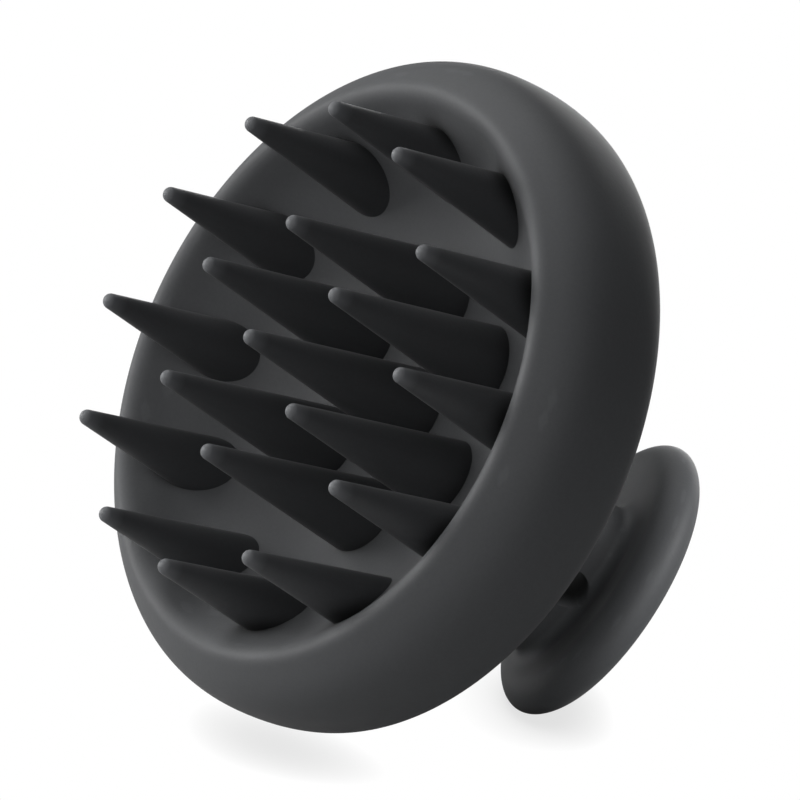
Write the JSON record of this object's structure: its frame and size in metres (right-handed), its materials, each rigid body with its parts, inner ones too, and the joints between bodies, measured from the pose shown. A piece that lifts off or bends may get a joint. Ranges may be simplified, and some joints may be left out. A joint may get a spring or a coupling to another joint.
{
  "type": "scalp massager brush",
  "caption": "Hand-held scalp massager: a round cupped head lined with tapered soft bristles, and a leaning saucer knob on a flat neck with a cord hole.",
  "frame": {"origin": "centre of the plane that the bristle tips stand on, on the axis of the round head", "axes": "+Z from the bristle tips up through the head towards the knob; +X through one bristle of each ring; the knob leans 24 degrees away from +Z, towards the compass direction -63.5 degrees from +X"},
  "size_m": [0.0806, 0.0806, 0.0643],
  "materials": {
    "skin_silicone": "soft matte",
    "bristle_silicone": "soft matte",
    "core_plastic": "moulded",
    "screw_steel": "plated"
  },
  "bodies": {
    "head": {"head_skin": "skin_silicone", "grip_skin": "skin_silicone", "grip_cap": "skin_silicone", "head_tray": "core_plastic", "back_shell": "core_plastic", "neck_core": "core_plastic", "tray_screws": "screw_steel", "neck_screws": "screw_steel"},
    "bristle_centre": {"bristle_centre": "bristle_silicone"},
    "bristle_inner_1": {"bristle_inner_1": "bristle_silicone"},
    "bristle_inner_2": {"bristle_inner_2": "bristle_silicone"},
    "bristle_inner_3": {"bristle_inner_3": "bristle_silicone"},
    "bristle_inner_4": {"bristle_inner_4": "bristle_silicone"},
    "bristle_inner_5": {"bristle_inner_5": "bristle_silicone"},
    "bristle_inner_6": {"bristle_inner_6": "bristle_silicone"},
    "bristle_outer_1": {"bristle_outer_1": "bristle_silicone"},
    "bristle_outer_2": {"bristle_outer_2": "bristle_silicone"},
    "bristle_outer_3": {"bristle_outer_3": "bristle_silicone"},
    "bristle_outer_4": {"bristle_outer_4": "bristle_silicone"},
    "bristle_outer_5": {"bristle_outer_5": "bristle_silicone"},
    "bristle_outer_6": {"bristle_outer_6": "bristle_silicone"},
    "bristle_outer_7": {"bristle_outer_7": "bristle_silicone"},
    "bristle_outer_8": {"bristle_outer_8": "bristle_silicone"},
    "bristle_outer_9": {"bristle_outer_9": "bristle_silicone"},
    "bristle_outer_10": {"bristle_outer_10": "bristle_silicone"},
    "bristle_outer_11": {"bristle_outer_11": "bristle_silicone"},
    "bristle_outer_12": {"bristle_outer_12": "bristle_silicone"}
  },
  "joints": [
    {"name": "bend_centre", "type": "hinge", "parent": "head", "child": "bristle_centre", "pos_m": [0, 0, 0.02695], "axis": [0, -1, 0], "range_deg": [-12, 12], "stiffness_Nm_per_rad": 0.023},
    {"name": "bend_inner_1", "type": "hinge", "parent": "head", "child": "bristle_inner_1", "pos_m": [0.014, 0, 0.02545], "axis": [0, -1, 0], "range_deg": [-12, 12], "stiffness_Nm_per_rad": 0.022},
    {"name": "bend_inner_2", "type": "hinge", "parent": "head", "child": "bristle_inner_2", "pos_m": [0.007, 0.01212, 0.02545], "axis": [0.866, -0.5, 0], "range_deg": [-12, 12], "stiffness_Nm_per_rad": 0.022},
    {"name": "bend_inner_3", "type": "hinge", "parent": "head", "child": "bristle_inner_3", "pos_m": [-0.007, 0.01212, 0.02545], "axis": [0.866, 0.5, 0], "range_deg": [-12, 12], "stiffness_Nm_per_rad": 0.022},
    {"name": "bend_inner_4", "type": "hinge", "parent": "head", "child": "bristle_inner_4", "pos_m": [-0.014, 0, 0.02545], "axis": [0, 1, 0], "range_deg": [-12, 12], "stiffness_Nm_per_rad": 0.022},
    {"name": "bend_inner_5", "type": "hinge", "parent": "head", "child": "bristle_inner_5", "pos_m": [-0.007, -0.01212, 0.02545], "axis": [-0.866, 0.5, 0], "range_deg": [-12, 12], "stiffness_Nm_per_rad": 0.022},
    {"name": "bend_inner_6", "type": "hinge", "parent": "head", "child": "bristle_inner_6", "pos_m": [0.007, -0.01212, 0.02545], "axis": [-0.866, -0.5, 0], "range_deg": [-12, 12], "stiffness_Nm_per_rad": 0.022},
    {"name": "bend_outer_1", "type": "hinge", "parent": "head", "child": "bristle_outer_1", "pos_m": [0.028, 0, 0.01835], "axis": [0, -1, 0], "range_deg": [-12, 12], "stiffness_Nm_per_rad": 0.016},
    {"name": "bend_outer_2", "type": "hinge", "parent": "head", "child": "bristle_outer_2", "pos_m": [0.02425, 0.014, 0.01835], "axis": [0.5, -0.866, 0], "range_deg": [-12, 12], "stiffness_Nm_per_rad": 0.016},
    {"name": "bend_outer_3", "type": "hinge", "parent": "head", "child": "bristle_outer_3", "pos_m": [0.014, 0.02425, 0.01835], "axis": [0.866, -0.5, 0], "range_deg": [-12, 12], "stiffness_Nm_per_rad": 0.016},
    {"name": "bend_outer_4", "type": "hinge", "parent": "head", "child": "bristle_outer_4", "pos_m": [0, 0.028, 0.01835], "axis": [1, 0, 0], "range_deg": [-12, 12], "stiffness_Nm_per_rad": 0.016},
    {"name": "bend_outer_5", "type": "hinge", "parent": "head", "child": "bristle_outer_5", "pos_m": [-0.014, 0.02425, 0.01835], "axis": [0.866, 0.5, 0], "range_deg": [-12, 12], "stiffness_Nm_per_rad": 0.016},
    {"name": "bend_outer_6", "type": "hinge", "parent": "head", "child": "bristle_outer_6", "pos_m": [-0.02425, 0.014, 0.01835], "axis": [0.5, 0.866, 0], "range_deg": [-12, 12], "stiffness_Nm_per_rad": 0.016},
    {"name": "bend_outer_7", "type": "hinge", "parent": "head", "child": "bristle_outer_7", "pos_m": [-0.028, 0, 0.01835], "axis": [0, 1, 0], "range_deg": [-12, 12], "stiffness_Nm_per_rad": 0.016},
    {"name": "bend_outer_8", "type": "hinge", "parent": "head", "child": "bristle_outer_8", "pos_m": [-0.02425, -0.014, 0.01835], "axis": [-0.5, 0.866, 0], "range_deg": [-12, 12], "stiffness_Nm_per_rad": 0.016},
    {"name": "bend_outer_9", "type": "hinge", "parent": "head", "child": "bristle_outer_9", "pos_m": [-0.014, -0.02425, 0.01835], "axis": [-0.866, 0.5, 0], "range_deg": [-12, 12], "stiffness_Nm_per_rad": 0.016},
    {"name": "bend_outer_10", "type": "hinge", "parent": "head", "child": "bristle_outer_10", "pos_m": [0, -0.028, 0.01835], "axis": [-1, 0, 0], "range_deg": [-12, 12], "stiffness_Nm_per_rad": 0.016},
    {"name": "bend_outer_11", "type": "hinge", "parent": "head", "child": "bristle_outer_11", "pos_m": [0.014, -0.02425, 0.01835], "axis": [-0.866, -0.5, 0], "range_deg": [-12, 12], "stiffness_Nm_per_rad": 0.016},
    {"name": "bend_outer_12", "type": "hinge", "parent": "head", "child": "bristle_outer_12", "pos_m": [0.02425, -0.014, 0.01835], "axis": [-0.5, -0.866, 0], "range_deg": [-12, 12], "stiffness_Nm_per_rad": 0.016}
  ]
}
